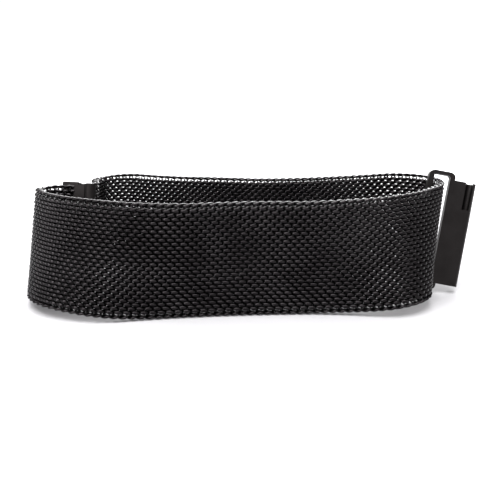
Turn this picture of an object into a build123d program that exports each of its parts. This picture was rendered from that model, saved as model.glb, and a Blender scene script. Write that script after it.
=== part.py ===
# A mesh watch band of interlinked flattened wire, closed as a loop and standing on its long edge.
# The long strap runs from its lug end round the loop to a magnetic tip. A short connector with a
# hoop rides on the strap's turn at the right. Millimetres, +Z up, origin at the loop's centre on
# the floor, +X to the right and +Y away from the viewer.

import os
from math import cos, radians, sin, sqrt, tan

from build123d import *

# Strap of woven mesh
band_width = 22.0
mesh_thickness = 1.8
strap_length = 203.0
joint_gap = 0.1

# Route of the strap, seen from above, starting at the lug end's edge.
# Each piece has its share of the strap's length, its turn in degrees at the top edge and at the
# foot, and the share of the lift that the strap has where the piece ends.
lug_x = -39.2
lug_y = 2.9
lug_heading = 176.0
lug_lean = 20.0
hoop_lift = 1.55
floor_gap = 0.05
route_shares = (
    (0.0184, 2, 6, 0.0),
    (0.0299, 122, 103, 0.0),
    (0.0527, 28, 48, 0.0),
    (0.0776, 16, 39, 0.0),
    (0.0731, 28, -6, 0.0),
    (0.0844, -16, -4, 0.0),
    (0.0886, 25, -13, 0.4),
    (0.0697, 28, 91, 0.8),
    (0.0368, 45, 14, 1.0),
    (0.0697, 95, 75, 0.95),
    (0.0776, -6, 2, 0.5),
    (0.0756, -21, -2, 0.1),
    (0.0667, 8, 11, 0.0),
    (0.0707, -15, -1, 0.0),
    (0.0537, 98, 94, 0.0),
    (0.0299, 43, 14, 0.0),
    (0.0249, -116, -107, 0.0),
)

# Fittings shared by the lug end and the connector
fitting_side_reach = 0.25
fitting_length = band_width + 2 * fitting_side_reach
plate_thickness = 1.3
tube_radius = 1.2
tube_bore_radius = 0.8
tube_offset = tube_radius - plate_thickness / 2

# Lug end of the long strap
lug_plate_length = 2.3

# Notch in each tube, which frees the lever of a spring bar
notch_length = 5.9
notch_rim = 0.9
notch_reach = 0.1

# Connector with its hoop
hoop_bar = 1.1
hoop_end_bar = 0.8
hoop_opening = 3.5
hoop_end_gap = 0.985
hoop_outer_round = 1.2
hoop_inner_round = 0.5
connector_plate_length = 2.5
connector_heading = 0
connector_rise = 0.37
hoop_hinge = 9
hoop_inset_top = 1.75
hoop_inset_foot = 2.2
hoop_setback_top = 0.3
hoop_setback_foot = 0.8

# Magnetic tip
tip_block_length = 3.7
tip_block_thickness = 2.8
tip_side_reach = 0.3
tip_block_width = band_width + 2 * tip_side_reach
tip_block_shift = -0.05
tip_heading = 178.0
tip_wall = 0.5
tip_seat_wall = 1.0
tip_cover_thickness = 0.35
tip_edge_round = 0.25
yoke_thickness = 0.4
magnet_count = 3
magnet_gap = 0.3
fit_gap = 0.06

overrun = 1.0


def turn_point(point, heading, length, turn):
    """Follow an arc of the given length and turn from a point, and return where it ends."""
    chord = length
    if turn:
        chord = 2 * length / radians(turn) * sin(radians(turn) / 2)
    way = radians(heading + turn / 2)
    return (point[0] + chord * cos(way), point[1] + chord * sin(way)), heading + turn


def walk(start, edge):
    """List the plan points and headings of the strap's hinge lines along one edge."""
    stations = [(start, lug_heading)]
    for row in route_shares:
        point, heading = stations[-1]
        stations.append(turn_point(point, heading, row[0] * strap_length, row[edge]))
    return stations


lean_reach = band_width * sin(radians(lug_lean))
lug_top = (lug_x, lug_y)
lug_foot = (
    lug_x - lean_reach * sin(radians(lug_heading)),
    lug_y + lean_reach * cos(radians(lug_heading)),
)
top_stations = walk(lug_top, 1)
foot_stations = walk(lug_foot, 2)
lifts = [floor_gap] + [floor_gap + row[3] * hoop_lift for row in route_shares]


def line_at(top, foot, lift):
    """Give the ends of a straight line of the band's width through a top and a foot point."""
    reach_x = foot[0] - top[0]
    reach_y = foot[1] - top[1]
    high = band_width + lift
    drop = sqrt(band_width**2 - reach_x**2 - reach_y**2)
    return Vector(top[0], top[1], high), Vector(foot[0], foot[1], high - drop)


hinge_lines = [
    line_at(top[0], foot[0], lift) for top, foot, lift in zip(top_stations, foot_stations, lifts)
]
piece_count = len(route_shares)


def unit(degrees_round):
    """Give the direction at an angle from the local X axis."""
    return Vector(cos(radians(degrees_round)), sin(radians(degrees_round)))


def strip_outline(chord, turn, nose, socket):
    """Draw one strap piece in plan: an arc strip with a round nose and a hollow socket."""
    half = mesh_thickness / 2
    begin = Vector(0, 0)
    end = Vector(chord, 0)
    way_in = unit(-turn / 2)
    way_out = unit(turn / 2)
    side_in = unit(90 - turn / 2)
    side_out = unit(90 + turn / 2)
    middle = Vector(chord / 2, -chord / 2 * tan(radians(turn) / 4))
    across = Vector(0, half)
    socket_radius = half + joint_gap
    lip = end - way_out * sqrt(socket_radius**2 - half**2) if socket else end
    left_in = begin + side_in * half
    right_in = begin - side_in * half
    left_out = lip + side_out * half
    right_out = lip - side_out * half
    with BuildSketch() as outline:
        with BuildLine():
            ThreePointArc(left_in, middle + across, left_out)
            if socket:
                ThreePointArc(left_out, end - way_out * socket_radius, right_out)
            else:
                Line(left_out, right_out)
            ThreePointArc(right_out, middle - across, right_in)
            if nose:
                ThreePointArc(right_in, begin - way_in * half, left_in)
            else:
                Line(right_in, left_in)
        make_face()
    return outline.sketch


def edge_plane(begin, end):
    """Place a plan outline along a chord, level across the strap."""
    along = end - begin
    across = Vector(0, 0, 1).cross(along)
    return Plane(origin=begin, x_dir=along, z_dir=along.cross(across))


def strap_piece(index):
    """Make one rigid piece of the mesh between two hinge lines."""
    turn_top, turn_foot = route_shares[index][1:3]
    nose = index > 0
    socket = index < piece_count - 1
    top_begin, foot_begin = hinge_lines[index]
    top_end, foot_end = hinge_lines[index + 1]
    top_chord = (top_end - top_begin).length
    foot_chord = (foot_end - foot_begin).length
    with BuildPart() as piece:
        with BuildSketch(edge_plane(foot_begin, foot_end)):
            add(strip_outline(foot_chord, turn_foot, nose, socket))
        with BuildSketch(edge_plane(top_begin, top_end)):
            add(strip_outline(top_chord, turn_top, nose, socket))
        loft(ruled=True)
    return piece.part


def line_plane(line, heading):
    """Stand a plane on a line across the band, X along the heading and Z up the line."""
    top, foot = line
    middle = (top + foot) * 0.5
    return Plane(origin=middle, x_dir=unit(heading), z_dir=top - foot)


def moved(plane, x=0, y=0, z=0):
    """Move a plane by distances along its own axes."""
    origin = plane.from_local_coords(Vector(x, y, z))
    return Plane(origin=origin, x_dir=plane.x_dir, z_dir=plane.z_dir)


def fitting_outline(start, plate_length, side):
    """Draw the end view of a plate that runs into a round tube, level on its outer face."""
    with BuildSketch() as outline:
        with Locations((start + (plate_length + tube_radius) / 2, 0)):
            Rectangle(plate_length + tube_radius, plate_thickness)
        with Locations((start + plate_length + tube_radius, side * tube_offset)):
            Circle(tube_radius)
    return outline.sketch


def tube_bore(tube_plane):
    """Make the core that is taken out of a tube, as its bore."""
    with BuildPart() as bore:
        with BuildSketch(moved(tube_plane, z=-fitting_length / 2 - overrun)):
            Circle(tube_bore_radius)
        extrude(amount=fitting_length + 2 * overrun)
    return bore.part


def tube_notch(tube_plane, end, side):
    """Make the block that is taken out of a tube's outer face at one end."""
    width = 2 * tube_radius - notch_rim + notch_reach
    middle_x = -(notch_rim + notch_reach) / 2
    depth = tube_radius + overrun
    middle_z = end * (fitting_length / 2 + (overrun - notch_length) / 2)
    with BuildPart() as notch:
        with Locations(moved(tube_plane, middle_x, -side * depth / 2, middle_z)):
            Box(width, depth, notch_length + overrun)
    return notch.part


os.makedirs("parts", exist_ok=True)

# Mesh pieces of the strap
for index in range(piece_count):
    mesh_piece = strap_piece(index)
    name = f"mesh_{index + 1:02d}"
    mesh_piece.label = name
    export_step(mesh_piece, f"parts/{name}.step")

# Lug end: a plate brazed to the mesh's edge, and a tube for the spring bar
lug_plane = line_plane(hinge_lines[0], lug_heading + 180)
lug_tube_plane = moved(lug_plane, x=lug_plate_length + tube_radius, y=-tube_offset)
with BuildPart() as lug_end:
    with BuildSketch(moved(lug_plane, z=-fitting_length / 2)):
        add(fitting_outline(0, lug_plate_length, -1))
    extrude(amount=fitting_length)
    add(tube_bore(lug_tube_plane), mode=Mode.SUBTRACT)
    add(tube_notch(lug_tube_plane, -1, -1), mode=Mode.SUBTRACT)
lug_end.part.label = "lug_end"
export_step(lug_end.part, "parts/lug_end.step")


def inside_turn(station, inset, setback):
    """Give the plan point that lies inside the strap's turn, a little before a hinge line."""
    point, heading = station
    side = unit(heading + 90)
    along = unit(heading)
    return (
        point[0] + side.X * inset - along.X * setback,
        point[1] + side.Y * inset - along.Y * setback,
    )


# Connector: a hoop that the strap turns round, a plate and a second tube
hoop_line = line_at(
    inside_turn(top_stations[hoop_hinge], hoop_inset_top, hoop_setback_top),
    inside_turn(foot_stations[hoop_hinge], hoop_inset_foot, hoop_setback_foot),
    lifts[hoop_hinge],
)
connector_plane = moved(line_plane(hoop_line, connector_heading), z=connector_rise)
hoop_length = band_width + 2 * (hoop_end_gap + hoop_end_bar)
hoop_width = 2 * hoop_bar + hoop_opening
connector_plate_start = hoop_bar / 2 + hoop_opening + hoop_bar
connector_tube_plane = moved(
    connector_plane,
    x=connector_plate_start + connector_plate_length + tube_radius,
    y=tube_offset,
)
hoop_face_plane = Plane(
    origin=connector_plane.from_local_coords(
        Vector(hoop_width / 2 - hoop_bar / 2, plate_thickness / 2, 0)
    ),
    x_dir=connector_plane.x_dir,
    z_dir=connector_plane.y_dir * -1,
)
with BuildPart() as connector:
    with BuildSketch(hoop_face_plane):
        RectangleRounded(hoop_width, hoop_length, hoop_outer_round)
        RectangleRounded(
            hoop_opening, hoop_length - 2 * hoop_end_bar, hoop_inner_round, mode=Mode.SUBTRACT
        )
    extrude(amount=plate_thickness)
    with BuildSketch(moved(connector_plane, z=-fitting_length / 2)):
        add(
            fitting_outline(
                connector_plate_start - hoop_bar / 2,
                connector_plate_length + hoop_bar / 2,
                1,
            )
        )
    extrude(amount=fitting_length)
    add(tube_bore(connector_tube_plane), mode=Mode.SUBTRACT)
    add(tube_notch(connector_tube_plane, 1, 1), mode=Mode.SUBTRACT)
connector.part.label = "connector"
export_step(connector.part, "parts/connector.step")

# Magnetic tip: a shell brazed to the strap's end, with a yoke, magnets and a cover inside
tip_plane = moved(line_plane(hinge_lines[-1], tip_heading), x=fit_gap, y=tip_block_shift)
tip_half = tip_block_thickness / 2
cavity_length = tip_block_length - tip_wall - tip_seat_wall
cavity_width = tip_block_width - 2 * tip_wall
cavity_middle = tip_seat_wall + cavity_length / 2
cavity_floor = tip_wall - tip_half


def cavity_block(length, width, low, high):
    """Make a block centred on the tip's cavity, between two heights through its thickness."""
    with BuildPart() as block:
        with Locations(moved(tip_plane, x=cavity_middle, y=(low + high) / 2)):
            Box(length, high - low, width)
    return block.part


with BuildPart() as tip_shell:
    with Locations(moved(tip_plane, x=tip_block_length / 2)):
        Box(tip_block_length, tip_block_thickness, tip_block_width)
    fillet(tip_shell.edges(), tip_edge_round)
    add(
        cavity_block(cavity_length, cavity_width, cavity_floor, tip_half + overrun),
        mode=Mode.SUBTRACT,
    )
tip_shell.part.label = "tip_shell"
export_step(tip_shell.part, "parts/tip_shell.step")

cover_low = tip_half - tip_cover_thickness
tip_cover = cavity_block(
    cavity_length - 2 * fit_gap, cavity_width - 2 * fit_gap, cover_low, tip_half
)
tip_cover.label = "tip_cover"
export_step(tip_cover, "parts/tip_cover.step")

yoke_high = cavity_floor + yoke_thickness
tip_yoke = cavity_block(
    cavity_length - 2 * fit_gap, cavity_width - 2 * fit_gap, cavity_floor, yoke_high
)
tip_yoke.label = "tip_yoke"
export_step(tip_yoke, "parts/tip_yoke.step")

magnet_width = (cavity_width - 2 * fit_gap - (magnet_count - 1) * magnet_gap) / magnet_count
for index in range(magnet_count):
    magnet_z = (index - (magnet_count - 1) / 2) * (magnet_width + magnet_gap)
    with BuildPart() as magnet:
        with Locations(moved(tip_plane, cavity_middle, (yoke_high + cover_low) / 2, magnet_z)):
            Box(cavity_length - 2 * fit_gap, cover_low - yoke_high, magnet_width)
    magnet.part.label = f"tip_magnet_{index + 1}"
    export_step(magnet.part, f"parts/tip_magnet_{index + 1}.step")
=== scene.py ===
# %% [markdown]
# # A milanese mesh band, dressed for a studio photograph
# The band is a long strap of interlinked steel coils. It stands on its edge as a closed loop: from
# the lug end it turns round a tight fold at the left, runs along the front, folds round a hoop at
# the right and comes back to a magnetic tip. The solid model gives every place and every size. This
# file winds the wire, colours the steel and sets up the picture. All lengths are in metres.

from math import cos, pi, radians, sin, sqrt

import bmesh
import bpy
import numpy as np
from mathutils import Matrix, Vector


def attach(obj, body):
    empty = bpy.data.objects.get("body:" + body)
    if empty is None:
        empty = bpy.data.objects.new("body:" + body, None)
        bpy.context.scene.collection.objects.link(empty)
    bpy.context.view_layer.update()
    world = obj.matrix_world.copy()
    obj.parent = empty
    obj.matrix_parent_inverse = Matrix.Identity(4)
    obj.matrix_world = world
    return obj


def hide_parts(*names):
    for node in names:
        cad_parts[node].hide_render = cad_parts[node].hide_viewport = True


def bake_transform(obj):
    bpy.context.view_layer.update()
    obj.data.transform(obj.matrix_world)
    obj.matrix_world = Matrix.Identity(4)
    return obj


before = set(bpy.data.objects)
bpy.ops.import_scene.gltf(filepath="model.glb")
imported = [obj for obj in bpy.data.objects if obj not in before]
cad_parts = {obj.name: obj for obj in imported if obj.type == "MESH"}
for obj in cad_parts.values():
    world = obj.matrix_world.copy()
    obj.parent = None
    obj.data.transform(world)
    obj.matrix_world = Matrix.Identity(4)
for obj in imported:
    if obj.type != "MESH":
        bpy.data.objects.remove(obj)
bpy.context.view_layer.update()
mm = 0.001

# %% [markdown]
# ## The camera
# A picture is easier to match when the camera is set first, because every later look is then
# judged from the same place. It could be placed by eye. Here it was worked out: where the loop's
# uprights meet, and how its near and far edges are foreshortened, give a lens of about 41 mm on a
# 36 mm sensor, held 12 cm away and tilted down by 16.4 degrees.

# %% Camera
picture_pixels = 500
focal_pixels = 572
shift_pixels = -5
sensor_width = 36
tilt_down = 16.4
nearest = 10 * mm
farthest = 20
eye = Vector((-0.2, -120.1, 43.8)) * mm
camera = bpy.data.objects.new("camera", bpy.data.cameras.new("camera"))
bpy.context.scene.collection.objects.link(camera)
camera.location = eye
camera.rotation_euler = (radians(90 - tilt_down), 0, 0)
camera.data.sensor_width = sensor_width
camera.data.lens = focal_pixels / picture_pixels * sensor_width
camera.data.shift_x = shift_pixels / picture_pixels
camera.data.clip_start = nearest
camera.data.clip_end = farthest
bpy.context.scene.camera = camera
print("lens", round(camera.data.lens, 2))

# %% [markdown]
# ## Finishes
# Every finish here is a real process: black plating on steel wire, satin black plate, bright
# nickel. A node tree says what light does on each. Small helpers keep that short: one turns a hex
# colour from a colour picker into the linear numbers that the shader wants, one turns the size of
# a pattern in millimetres into the scale of a noise, and one adds a node together with its
# settings and its links.

# %% Helpers for materials


def linear(hex_colour):
    """Turn an sRGB hex colour into linear red, green, blue and alpha."""
    values = [int(hex_colour[i : i + 2], 16) / 255 for i in (1, 3, 5)]
    return [v / 12.92 if v <= 0.04045 else ((v + 0.055) / 1.055) ** 2.4 for v in values] + [1.0]


def pattern_scale(size):
    """Give the noise scale at which one patch of the pattern has this size in millimetres."""
    return 1 / (size * mm)


def add_node(tree, kind, settings=None, inputs=None, links=None):
    """Add a shader node, set its properties and input values, and link its inputs."""
    node = tree.nodes.new(kind)
    for name, value in (settings or {}).items():
        setattr(node, name, value)
    for name, value in (inputs or {}).items():
        node.inputs[name].default_value = value
    for name, socket in (links or {}).items():
        tree.links.new(socket, node.inputs[name])
    return node


def new_material(name):
    """Start a material and return it with its tree, its shader and its object coordinates."""
    material = bpy.data.materials.new(name)
    material.use_nodes = True
    tree = material.node_tree
    shader = tree.nodes["Principled BSDF"]
    place = add_node(tree, "ShaderNodeTexCoord").outputs["Object"]
    return material, tree, shader, place


print("black, as the shader sees it", [round(v, 4) for v in linear("#272526")])


# %% [markdown]
# The wire is drawn steel with a black vapour-deposited coat. It could be shown as a dark plastic,
# but a metal's gloss keeps its dark colour, and that makes the turns look hard: it is metallic 1
# with a very dark colour. The coat isn't even. Noise in patches of about 6 mm changes its shade
# from place to place, and a fine one of 0.15 mm breaks up the gloss, which is high, because the
# mesh was rolled flat and hands rub it.

# %% Black plated wire
wire_black, tree, shader, place = new_material("black_plated_steel_wire")
shade_inputs = {"Scale": pattern_scale(6.25), "Detail": 3}
shade = add_node(tree, "ShaderNodeTexNoise", inputs=shade_inputs, links={"Vector": place})
tone = add_node(tree, "ShaderNodeValToRGB", links={"Fac": shade.outputs["Fac"]})
tone.color_ramp.elements[0].position = 0.35
tone.color_ramp.elements[0].color = linear("#1c1a1b")
tone.color_ramp.elements[1].position = 0.7
tone.color_ramp.elements[1].color = linear("#272526")
tree.links.new(tone.outputs["Color"], shader.inputs["Base Color"])
grit_inputs = {"Scale": pattern_scale(0.154), "Detail": 2}
grit = add_node(tree, "ShaderNodeTexNoise", inputs=grit_inputs, links={"Vector": place})
gloss = add_node(
    tree,
    "ShaderNodeMapRange",
    inputs={"From Min": 0.3, "From Max": 0.7, "To Min": 0.12, "To Max": 0.28},
    links={"Value": grit.outputs["Fac"]},
)
tree.links.new(gloss.outputs["Result"], shader.inputs["Roughness"])
shader.inputs["Metallic"].default_value = 1.0
print(wire_black.name, "has", len(tree.nodes), "nodes")

# %% [markdown]
# The end plates and the hoop are stamped from sheet, brushed along their length and plated in the
# same black, which leaves a satin face. Brush marks could be drawn as an image; a noise that is
# stretched upwards, along the plates, is enough and has no seams. The marks are 0.05 mm wide on
# the real plate, which is too fine to show, so they are drawn at 0.125 mm. A cloud of about 4.5 mm
# keeps the large faces from looking painted.

# %% Satin black plate
plate_black, tree, shader, place = new_material("satin_black_steel_plate")
brush_stretch = (1.0, 1.0, 0.06)
brush_depth = 0.02 * mm
along_plate = add_node(
    tree, "ShaderNodeMapping", inputs={"Scale": brush_stretch}, links={"Vector": place}
)
grain = add_node(
    tree,
    "ShaderNodeTexNoise",
    inputs={"Scale": pattern_scale(0.125), "Detail": 2},
    links={"Vector": along_plate.outputs["Vector"]},
)
cloud_inputs = {"Scale": pattern_scale(4.55), "Detail": 3}
cloud = add_node(tree, "ShaderNodeTexNoise", inputs=cloud_inputs, links={"Vector": place})
tone = add_node(tree, "ShaderNodeValToRGB", links={"Fac": cloud.outputs["Fac"]})
tone.color_ramp.elements[0].position = 0.3
tone.color_ramp.elements[0].color = linear("#201e1e")
tone.color_ramp.elements[1].position = 0.75
tone.color_ramp.elements[1].color = linear("#272525")
tree.links.new(tone.outputs["Color"], shader.inputs["Base Color"])
gloss = add_node(
    tree,
    "ShaderNodeMapRange",
    inputs={"From Min": 0.3, "From Max": 0.7, "To Min": 0.4, "To Max": 0.52},
    links={"Value": grain.outputs["Fac"]},
)
tree.links.new(gloss.outputs["Result"], shader.inputs["Roughness"])
bump = add_node(
    tree,
    "ShaderNodeBump",
    inputs={"Strength": 0.15, "Distance": brush_depth},
    links={"Height": grain.outputs["Fac"]},
)
tree.links.new(bump.outputs["Normal"], shader.inputs["Normal"])
shader.inputs["Metallic"].default_value = 1.0
print(plate_black.name, "has", len(tree.nodes), "nodes")

# %% [markdown]
# The tip holds three small magnets on a steel yoke. Both have a bright nickel plate, which is
# smooth with a faint haze of about 0.2 mm. They lie inside the tip, so one plain finish is enough.

# %% Bright nickel plate
nickel_bright, tree, shader, place = new_material("bright_nickel_plate")
haze_inputs = {"Scale": pattern_scale(0.2), "Detail": 1}
haze = add_node(tree, "ShaderNodeTexNoise", inputs=haze_inputs, links={"Vector": place})
gloss = add_node(
    tree,
    "ShaderNodeMapRange",
    inputs={"To Min": 0.15, "To Max": 0.3},
    links={"Value": haze.outputs["Fac"]},
)
tree.links.new(gloss.outputs["Result"], shader.inputs["Roughness"])
shader.inputs["Base Color"].default_value = linear("#b9b7b2")
shader.inputs["Metallic"].default_value = 1.0
print(nickel_bright.name, "has", len(tree.nodes), "nodes")

# %% [markdown]
# The solid model's nodes come in with plain colours. Every one gets a real finish, also those that
# the cloth replaces later, so that nothing plain is left.

# %% Dress the solid nodes
for name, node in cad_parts.items():
    finish = plate_black
    if name.startswith(("tip_magnet", "tip_yoke")):
        finish = nickel_bright
    node.data.materials.clear()
    node.data.materials.append(finish)
print("dressed", len(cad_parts), "nodes")

# %% [markdown]
# ## The strap's route
# The strap is a ruled ribbon: straight lines across the band join a curve along its top edge to a
# curve along its foot. Both curves are chains of arcs with the same lengths, so the ribbon bends
# and leans but never stretches. A curve modifier would twist and shear the coils where the band
# leans; a few lines of arithmetic keep each one whole. The table repeats the solid model's: each
# row has the stretch's share of the length, its turn in degrees at the top and at the foot, and
# its share of the hoop's lift.

# %% Route
band_width = 22.0 * mm
strap_length = 203.0 * mm
hoop_lift = 1.55 * mm
floor_gap = 0.05 * mm
lug_point = (-39.2 * mm, 2.9 * mm)
lug_heading = 176.0
lug_lean = 20.0
route_shares = (
    (0.0184, 2, 6, 0.0),
    (0.0299, 122, 103, 0.0),
    (0.0527, 28, 48, 0.0),
    (0.0776, 16, 39, 0.0),
    (0.0731, 28, -6, 0.0),
    (0.0844, -16, -4, 0.0),
    (0.0886, 25, -13, 0.4),
    (0.0697, 28, 91, 0.8),
    (0.0368, 45, 14, 1.0),
    (0.0697, 95, 75, 0.95),
    (0.0776, -6, 2, 0.5),
    (0.0756, -21, -2, 0.1),
    (0.0667, 8, 11, 0.0),
    (0.0707, -15, -1, 0.0),
    (0.0537, 98, 94, 0.0),
    (0.0299, 43, 14, 0.0),
    (0.0249, -116, -107, 0.0),
)
stretch_starts = [0.0]
for row in route_shares:
    stretch_starts.append(stretch_starts[-1] + row[0] * strap_length)
lean_reach = band_width * sin(radians(lug_lean))
slope_step = 0.1 * mm
top_turn = sum(row[1] for row in route_shares)
foot_turn = sum(row[2] for row in route_shares)
print("in all the top turns", top_turn, "degrees and the foot", foot_turn)

# %% Follow the two edges


def arc_end(point, heading, length, turn):
    """Follow an arc in plan and give its end."""
    chord = length
    if turn:
        chord = 2 * length / radians(turn) * sin(radians(turn) / 2)
    way = radians(heading + turn / 2)
    return (point[0] + chord * cos(way), point[1] + chord * sin(way))


def edge_point(distance, edge):
    """Give the plan point at a distance along the top edge (1) or the foot (2)."""
    point = lug_point
    if edge == 2:
        point = (
            lug_point[0] - lean_reach * sin(radians(lug_heading)),
            lug_point[1] + lean_reach * cos(radians(lug_heading)),
        )
    heading = lug_heading
    last = len(route_shares) - 1
    for index, (row, start) in enumerate(zip(route_shares, stretch_starts)):
        length = row[0] * strap_length
        step = distance - start if index == last else min(distance - start, length)
        if step > 0 or index == 0:
            turn = row[edge] * step / length
            point = arc_end(point, heading, step, turn)
            heading += turn
    return point


print("the top starts at", [round(v / mm, 1) for v in edge_point(0, 1)])

# %% Lay points on the ribbon


def lift_at(distance):
    """Give how far the ribbon's top stands above the band's width at a distance."""
    lifts = [0.0] + [row[3] for row in route_shares]
    return floor_gap + hoop_lift * float(np.interp(distance, stretch_starts, lifts))


def line_across(distance):
    """Give the ribbon's foot point and its top point at a distance."""
    top = edge_point(distance, 1)
    foot = edge_point(distance, 2)
    high = band_width + lift_at(distance)
    drop = sqrt(band_width**2 - (foot[0] - top[0]) ** 2 - (foot[1] - top[1]) ** 2)
    return np.array((*foot, high - drop)), np.array((*top, high))


def bend(points, distance):
    """Lay flat points (along, outward, up) on the ribbon, as a rigid slice at a distance."""
    foot, top = line_across(distance)
    foot_before, top_before = line_across(distance - slope_step)
    foot_after, top_after = line_across(distance + slope_step)
    share = points[:, 2:3] / band_width + 0.5
    foot_way = (foot_after - foot_before) / (2 * slope_step)
    top_way = (top_after - top_before) / (2 * slope_step)
    along = foot_way + (top_way - foot_way) * share
    outward = np.cross(along, top - foot)
    outward /= np.linalg.norm(outward, axis=1)[:, None]
    return foot + (top - foot) * share + along * points[:, 0:1] + outward * points[:, 1:2]


print("the strap ends at", [round(float(v) / mm, 1) for v in line_across(strap_length)[1]])

# %% [markdown]
# ## The wire coils
# Milanese mesh is made of flat spirals. Each coil of wire runs across the band and is screwed into
# the coil before it, and the whole cloth is then rolled, which presses the coils oval. A woven
# picture on a flat strip would show none of the light that comes through. A spin with a step
# upwards winds one round coil from a circle of six sides. Its vertices are then pressed oval, and
# the winding's rise is moved from the faces to the edges, because rolling lays the faces of the
# turns nearly level. Wire of 0.54 mm, rolled to 0.43 by 0.71 mm, with thirteen turns in the width,
# matches the photograph: only pinholes are left where one looks straight through the cloth.

# %% Sizes of wire and coil
wire_radius = 0.27 * mm
wire_sides = 6
wire_flat = (0.8, 1.32)
coil_half_width = 0.83 * mm
coil_half_depth = 0.68 * mm
turns = 13
steps_a_turn = 12
end_room = 0.8 * mm
turn_rise = (band_width - 2 * end_room) / turns
face_level = 0.85
round_radius = 2 * mm
print("one turn in", round(turn_rise / mm, 2), "mm of the band's width")

# %% Wind one coil


def spun_wire(turn_count, rise):
    """Wind a round coil about Z from a small circle, capped at both ends."""
    coil = bmesh.new()
    circle = bmesh.ops.create_circle(
        coil, cap_ends=False, radius=wire_radius, segments=wire_sides
    )
    ring = circle["verts"]
    press = Matrix.Diagonal((wire_flat[0], 1, wire_flat[1], 1))
    stand = Matrix.Translation((round_radius, 0, 0)) @ press @ Matrix.Rotation(pi / 2, 4, "X")
    bmesh.ops.transform(coil, matrix=stand, verts=ring)
    bmesh.ops.spin(
        coil,
        geom=ring + coil.edges[:],
        cent=(0, 0, 0),
        axis=(0, 0, 1),
        dvec=(0, 0, rise / steps_a_turn),
        angle=2 * pi * turn_count,
        steps=round(turn_count * steps_a_turn),
    )
    bmesh.ops.holes_fill(coil, edges=coil.edges[:], sides=wire_sides)
    bmesh.ops.recalc_face_normals(coil, faces=coil.faces[:])
    coil.verts.index_update()
    return coil


def pressed(points, half_width, half_depth, rise, level):
    """Press round wire points into an oval coil, with the rise moved to the coil's edges."""
    turned = np.arctan2(points[:, 1], points[:, 0])
    out = np.hypot(points[:, 0], points[:, 1]) - round_radius
    x = half_width * np.cos(turned)
    y = half_depth * np.sin(turned)
    normal = np.stack([np.cos(turned) * half_depth, np.sin(turned) * half_width], 1)
    normal /= np.linalg.norm(normal, axis=1)[:, None]
    z = points[:, 2] + level * rise / (4 * pi) * np.sin(2 * turned)
    return np.stack([x + out * normal[:, 0], y + out * normal[:, 1], z], 1)


def read_points(source):
    """Give a bmesh's vertex places as an array."""
    return np.array([v.co for v in source.verts], float)


coil = spun_wire(turns, turn_rise)
print("one coil:", len(coil.faces), "faces")

# %% Press it for both facings
round_points = read_points(coil)
coil_shapes = []
for facing in (1, -1):
    turned_points = round_points * (facing, facing, 1)
    shape = pressed(turned_points, coil_half_width, coil_half_depth, turn_rise, face_level)
    shape[:, 2] -= turns * turn_rise / 2
    coil_shapes.append(shape)
coil_height = coil_shapes[0][:, 2].max() - coil_shapes[0][:, 2].min()
print("pressed, it is", round(float(coil_height) / mm, 2), "mm high")

# %% [markdown]
# ## The edge cord
# Along both long edges the coils' ends are bent over their neighbours and soldered, which gives
# the edge its look of a flat twisted cord. Two wires that wind round each other as a flattened
# helix, with one turn for four coils, give the same line. A spin would stand this helix's rings
# askew and pinch the wire, so a straight tube is drawn out ring by ring, and its points are then
# laid on the helix.

# %% Sizes of the cord
coil_spacing = 0.815 * mm
coil_count = int(strap_length / coil_spacing)
first_coil = (strap_length - (coil_count - 1) * coil_spacing) / 2
cord_radius = 0.27 * mm
cord_half_depth = 0.62 * mm
cord_half_height = 0.15 * mm
cord_middle = 10.78 * mm
cord_turn = 4 * coil_spacing
cord_steps = 14
print(coil_count, "coils,", round(strap_length / cord_turn), "turns of cord along each edge")

# %% Draw out a straight wire


def straight_wire(radius, length, steps):
    """Draw a circle out along Z in equal steps to a tube, and close both ends."""
    wire = bmesh.new()
    bmesh.ops.create_circle(wire, cap_ends=False, radius=radius, segments=wire_sides)
    edges = wire.edges[:]
    for _ in range(steps):
        drawn = bmesh.ops.extrude_edge_only(wire, edges=edges)["geom"]
        ring = [part for part in drawn if isinstance(part, bmesh.types.BMVert)]
        edges = [part for part in drawn if isinstance(part, bmesh.types.BMEdge)]
        edges = [edge for edge in edges if all(v in ring for v in edge.verts)]
        bmesh.ops.translate(wire, vec=(0, 0, length / steps), verts=ring)
    bmesh.ops.holes_fill(wire, edges=wire.edges[:], sides=wire_sides)
    bmesh.ops.recalc_face_normals(wire, faces=wire.faces[:])
    wire.verts.index_update()
    return wire


def on_cord(points, start, edge, strand):
    """Lay a straight wire's points round the cord's helix, each ring about its own distance."""
    turned = 2 * pi * (start + points[:, 2]) / cord_turn + strand * pi
    grow = 2 * pi / cord_turn
    middle = edge * cord_middle
    outward = cord_half_depth * np.cos(turned)
    up = middle + cord_half_height * np.sin(turned)
    path = np.stack([np.zeros(len(turned)), outward, up], 1)
    outward_slope = -cord_half_depth * grow * np.sin(turned)
    up_slope = cord_half_height * grow * np.cos(turned)
    way = np.stack([np.ones(len(turned)), outward_slope, up_slope], 1)
    way /= np.linalg.norm(way, axis=1)[:, None]
    side = np.cross(way, (0, 0, 1))
    side /= np.linalg.norm(side, axis=1)[:, None]
    return path + side * points[:, 0:1] + np.cross(side, way) * points[:, 1:2]


sample = straight_wire(cord_radius, cord_turn, cord_steps)
print("one turn of one wire:", len(sample.faces), "faces")
sample.free()

# %% [markdown]
# ## Laying the cloth
# The coils are laid side by side, every second one turned half round, and each is bent to the
# ribbon as a rigid slice, just as the real coils stay straight while the cloth curls. One mesh for
# the whole strap couldn't follow the hinges, so the cloth is cut at the middle of each solid
# stretch, and every piece crosses one hinge line. The two end pieces are attached to the links at
# the strap's ends; the pieces between are baked where they lie.

# %% Make one piece of cloth


def add_copy(target, source, places):
    """Copy a bmesh's faces into another with new vertex places."""
    made = [target.verts.new(p) for p in places]
    target.verts.index_update()
    for face in source.faces:
        target.faces.new([made[v.index] for v in face.verts]).smooth = True


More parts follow.
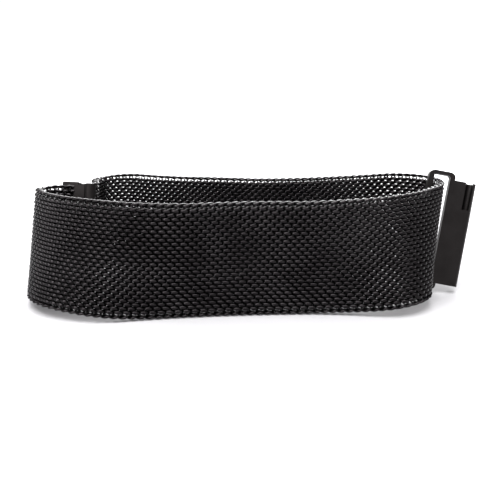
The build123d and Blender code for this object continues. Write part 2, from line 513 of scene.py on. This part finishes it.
def add_edges(cloth, low, high):
    """Add the two edge cords between two distances along the strap."""
    steps = round((high - low) / cord_turn * cord_steps)
    wire = straight_wire(cord_radius, high - low, steps)
    for edge in (-1, 1):
        for strand in (0, 1):
            points = on_cord(read_points(wire), low, edge, strand)
            rings = points.reshape(steps + 1, wire_sides, 3)
            distances = np.linspace(low, high, steps + 1)
            laid = [bend(ring, distance) for ring, distance in zip(rings, distances)]
            add_copy(cloth, wire, np.concatenate(laid))
    wire.free()


def cloth_piece(name, low, high):
    """Make the woven cloth between two distances along the strap."""
    cloth = bmesh.new()
    for number in range(coil_count):
        distance = first_coil + number * coil_spacing
        if low <= distance < high:
            add_copy(cloth, coil, bend(coil_shapes[number % 2], distance))
    add_edges(cloth, low, high)
    mesh = bpy.data.meshes.new(name)
    cloth.to_mesh(mesh)
    cloth.free()
    piece = bpy.data.objects.new(name, mesh)
    bpy.context.scene.collection.objects.link(piece)
    mesh.materials.append(wire_black)
    return piece


print("cloth of", wire_black.name)

# %% Cut the cloth at the middles of the stretches
middles = [(a + b) / 2 for a, b in zip(stretch_starts, stretch_starts[1:])]
cuts = [0.0] + middles + [strap_length]
cloth_total = 0
for index, (low, high) in enumerate(zip(cuts, cuts[1:])):
    piece = cloth_piece(f"cloth_{index + 1:02d}", low, high)
    before, after = f"link_{index:02d}", f"link_{index + 1:02d}"
    if index == 0:
        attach(piece, after)
    elif index == len(middles):
        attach(piece, before)
    else:
        ends = [np.mean(line_across(d), axis=0) for d in (low, high)]
        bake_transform(piece)
        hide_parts(f"mesh_{index:02d}")
    if index == len(middles):
        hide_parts(f"mesh_{index:02d}")
    cloth_total += len(piece.data.polygons)
print("cloth faces", cloth_total)

# %% [markdown]
# ## The floor
# The photograph has a white table with a grey shadow under the edges that stand free. White paper
# in strong light would drown that shadow, so the paper's colour carries painted light: it is grey
# out to 10 cm from the band's middle, a painted dimming where the lamps are strongest, and pales to
# white at 25 cm, where it would otherwise show a horizon. A round gradient in the floor's own
# coordinates does that. The floor lies a little below the band's foot.

# %% Floor
floor_half = 3
floor_drop = 0.15 * mm
white_from = 0.25
paper_dimmed_near_band, tree, shader, place = new_material("matt_paper_painted_dim_near_band")
reach = add_node(
    tree,
    "ShaderNodeMapping",
    inputs={"Scale": (1 / white_from,) * 3},
    links={"Vector": place},
)
fade = add_node(
    tree,
    "ShaderNodeTexGradient",
    settings={"gradient_type": "SPHERICAL"},
    links={"Vector": reach.outputs["Vector"]},
)
# Painted dimming: grey near the band and white far out stand in for the light's level on the floor,
# not for a grey paper.
tone = add_node(tree, "ShaderNodeValToRGB", links={"Fac": fade.outputs["Fac"]})
tone.color_ramp.elements[0].color = linear("#ffffff")
tone.color_ramp.elements[1].position = 0.6
tone.color_ramp.elements[1].color = linear("#989799")
tree.links.new(tone.outputs["Color"], shader.inputs["Base Color"])
shader.inputs["Roughness"].default_value = 0.8
table = bmesh.new()
bmesh.ops.create_grid(table, x_segments=1, y_segments=1, size=floor_half)
bmesh.ops.translate(table, vec=(0, 0, -floor_drop), verts=table.verts[:])
table_mesh = bpy.data.meshes.new("floor")
table.to_mesh(table_mesh)
table.free()
floor = bpy.data.objects.new("floor", table_mesh)
bpy.context.scene.collection.objects.link(floor)
table_mesh.materials.append(paper_dimmed_near_band)
print("the floor lies", round(floor_drop / mm, 2), "mm below the foot")

# %% [markdown]
# ## The light
# Light comes from everywhere in the photograph, so the world is white. Black metal shows only what
# it reflects, and a white world alone leaves it flat. A large soft lamp above draws the shadow
# under the edge, a larger one behind lights the far side of the loop, and a small one low in front
# puts a glint on the turns of the wire that face it.

# %% World and lamps
world_strength = 1.05
world = bpy.data.worlds.new("studio")
world.use_nodes = True
background = world.node_tree.nodes["Background"]
background.inputs["Color"].default_value = linear("#ffffff")
background.inputs["Strength"].default_value = world_strength
bpy.context.scene.world = world
bpy.context.scene.view_settings.view_transform = "Standard"
lamps = (
    ("softbox_above", (-0.05, -0.12, 0.55), 0.5, 10.0),
    ("softbox_front", (-0.28, -0.38, 0.1), 0.1, 1.1),
    ("softbox_behind", (0.1, 0.7, 0.5), 0.8, 12.0),
)
band_middle = Vector((0, 0, 0.01))


def soft_lamp(name, stand, size, power):
    """Add a square soft lamp of a size in metres and a power in watts, aimed at the band."""
    lamp = bpy.data.objects.new(name, bpy.data.lights.new(name, "AREA"))
    bpy.context.scene.collection.objects.link(lamp)
    lamp.location = stand
    lamp.rotation_euler = (band_middle - Vector(stand)).to_track_quat("-Z", "Y").to_euler()
    lamp.data.size = size
    lamp.data.energy = power


for name, stand, size, power in lamps:
    soft_lamp(name, stand, size, power)
print(len(lamps), "lamps")
